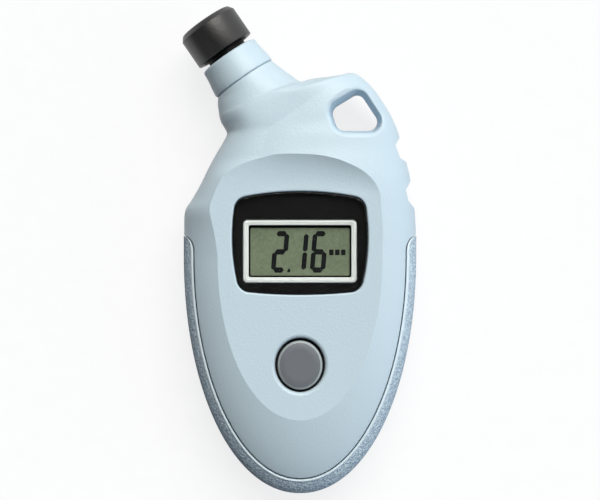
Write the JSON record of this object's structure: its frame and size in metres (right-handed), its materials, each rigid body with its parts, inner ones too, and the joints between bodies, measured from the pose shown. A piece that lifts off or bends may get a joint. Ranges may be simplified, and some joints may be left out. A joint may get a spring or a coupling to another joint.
{
  "type": "digital tire pressure gauge",
  "caption": "Handheld digital tire pressure gauge: egg-shaped body with display window, push button, soft grip band, lanyard hole and a turning, angled valve head.",
  "frame": {"origin": "middle of the bounding box on the flat back, on which the gauge lies", "axes": "+Z out of the display face, +Y along the body towards the valve head, +X to the right as the display is read"},
  "size_m": [0.0505, 0.1048, 0.0211],
  "materials": {
    "shell_blue": "fine satin texture",
    "grip_rubber": "coarse grained soft touch",
    "head_black": "smooth satin",
    "seal_rubber": "smooth",
    "cap_black": "fine grain",
    "brass": "turned",
    "slip_white": "smooth",
    "hose_clear": "smooth",
    "spring_steel": "plain",
    "chip_black": "moulded",
    "lens_clear": "polished",
    "mask_black": "printed",
    "frame_grey": "satin",
    "lcd_green": "smooth",
    "lcd_back": "smooth",
    "zebra_rubber": "smooth",
    "board_green": "solder resist",
    "smd_tan": "ceramic",
    "button_grey": "satin",
    "dome_rubber": "smooth",
    "cell_steel": "plain",
    "cover_blue": "fine satin texture",
    "screw_steel": "plain"
  },
  "bodies": {
    "housing": {"front_shell": "shell_blue", "rear_shell": "shell_blue", "grip_band": "grip_rubber", "neck_collar": "shell_blue", "neck_sleeve": "brass", "thrust_washer": "slip_white", "air_hose": "hose_clear", "hose_clips": "spring_steel", "pressure_sensor": "chip_black", "display_window": "lens_clear", "window_mask": "mask_black", "display_frame": "frame_grey", "lcd_panel": "lcd_green", "lcd_backing": "lcd_back", "zebra_strips": "zebra_rubber", "circuit_board": "board_green", "controller_chip": "chip_black", "smd_parts": "smd_tan", "button_dome": "dome_rubber", "coin_cell": "cell_steel", "battery_holder": "chip_black", "battery_contact_positive": "spring_steel", "battery_contact_negative": "spring_steel", "shell_screws": "screw_steel", "board_screws": "screw_steel"},
    "valve_head": {"head_stem": "head_black", "stem_o_rings": "seal_rubber", "valve_cap": "cap_black", "valve_gasket": "seal_rubber", "depressor_pin": "brass"},
    "button": {"push_button": "button_grey", "contact_pill": "seal_rubber"},
    "battery_door": {"battery_cover": "cover_blue", "cover_o_ring": "seal_rubber"}
  },
  "joints": [
    {"name": "head_swivel", "type": "hinge", "parent": "housing", "child": "valve_head", "pos_m": [-0.01185, 0.0367, 0.0105], "axis": [-0.5664, 0.8241, 0], "continuous": true},
    {"name": "button_press", "type": "slide", "parent": "housing", "child": "button", "axis": [0, 0, -1], "range_m": [0, 0.0008], "stiffness_N_per_m": 2000, "deforming": ["button_dome"]},
    {"name": "battery_cover_turn", "type": "hinge", "parent": "housing", "child": "battery_door", "pos_m": [0, -0.013, 0.0015], "axis": [0, 0, -1], "range_deg": [0, 40]}
  ]
}
